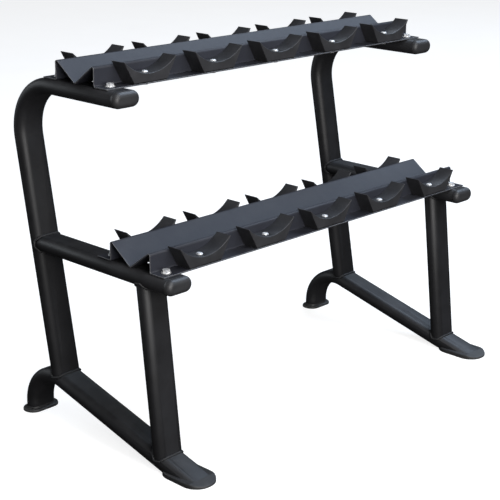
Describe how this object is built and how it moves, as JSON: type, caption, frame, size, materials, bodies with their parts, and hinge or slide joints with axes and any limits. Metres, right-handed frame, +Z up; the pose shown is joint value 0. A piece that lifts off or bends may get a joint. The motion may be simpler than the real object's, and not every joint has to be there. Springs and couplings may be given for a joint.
{
  "type": "dumbbell rack",
  "caption": "Free-standing two-tier rack: side frames of bent flat-oval tube carry folded trays with rows of flared cradles that hold dumbbells by their ends.",
  "frame": {"origin": "on the floor, under the middle of the rack's bounding box", "axes": "+X along the trays to the rack's right, -Y towards the user at the front, +Z up"},
  "size_m": [1.23, 0.682, 0.9702],
  "materials": {
    "frame_paint": "satin black powder coat",
    "tray_paint": "satin charcoal powder coat",
    "saddle_plastic": "moulded, fine grain",
    "cap_plastic": "moulded, soft sheen",
    "foot_rubber": "moulded, matt",
    "zinc_steel": "bright zinc plate"
  },
  "bodies": {
    "root": {"left_upright": "frame_paint", "left_lower_arm": "frame_paint", "left_front_post": "frame_paint", "left_base_tube": "frame_paint", "left_upper_arm_cap": "cap_plastic", "left_lower_arm_cap": "cap_plastic", "left_rear_foot": "foot_rubber", "left_front_foot": "foot_rubber", "right_upright": "frame_paint", "right_lower_arm": "frame_paint", "right_front_post": "frame_paint", "right_base_tube": "frame_paint", "right_upper_arm_cap": "cap_plastic", "right_lower_arm_cap": "cap_plastic", "right_rear_foot": "foot_rubber", "right_front_foot": "foot_rubber", "lower_tray": "tray_paint", "lower_front_saddle_1": "saddle_plastic", "lower_front_saddle_2": "saddle_plastic", "lower_front_saddle_3": "saddle_plastic", "lower_front_saddle_4": "saddle_plastic", "lower_front_saddle_5": "saddle_plastic", "lower_rear_saddle_1": "saddle_plastic", "lower_rear_saddle_2": "saddle_plastic", "lower_rear_saddle_3": "saddle_plastic", "lower_rear_saddle_4": "saddle_plastic", "lower_rear_saddle_5": "saddle_plastic", "lower_saddle_bolts": "zinc_steel", "lower_saddle_washers": "zinc_steel", "lower_clinch_nuts": "zinc_steel", "lower_frame_bolts": "zinc_steel", "lower_frame_washers": "zinc_steel", "lower_rivet_nuts": "zinc_steel", "upper_tray": "tray_paint", "upper_front_saddle_1": "saddle_plastic", "upper_front_saddle_2": "saddle_plastic", "upper_front_saddle_3": "saddle_plastic", "upper_front_saddle_4": "saddle_plastic", "upper_front_saddle_5": "saddle_plastic", "upper_rear_saddle_1": "saddle_plastic", "upper_rear_saddle_2": "saddle_plastic", "upper_rear_saddle_3": "saddle_plastic", "upper_rear_saddle_4": "saddle_plastic", "upper_rear_saddle_5": "saddle_plastic", "upper_saddle_bolts": "zinc_steel", "upper_saddle_washers": "zinc_steel", "upper_clinch_nuts": "zinc_steel", "upper_frame_bolts": "zinc_steel", "upper_frame_washers": "zinc_steel", "upper_rivet_nuts": "zinc_steel"}
  },
  "joints": []
}
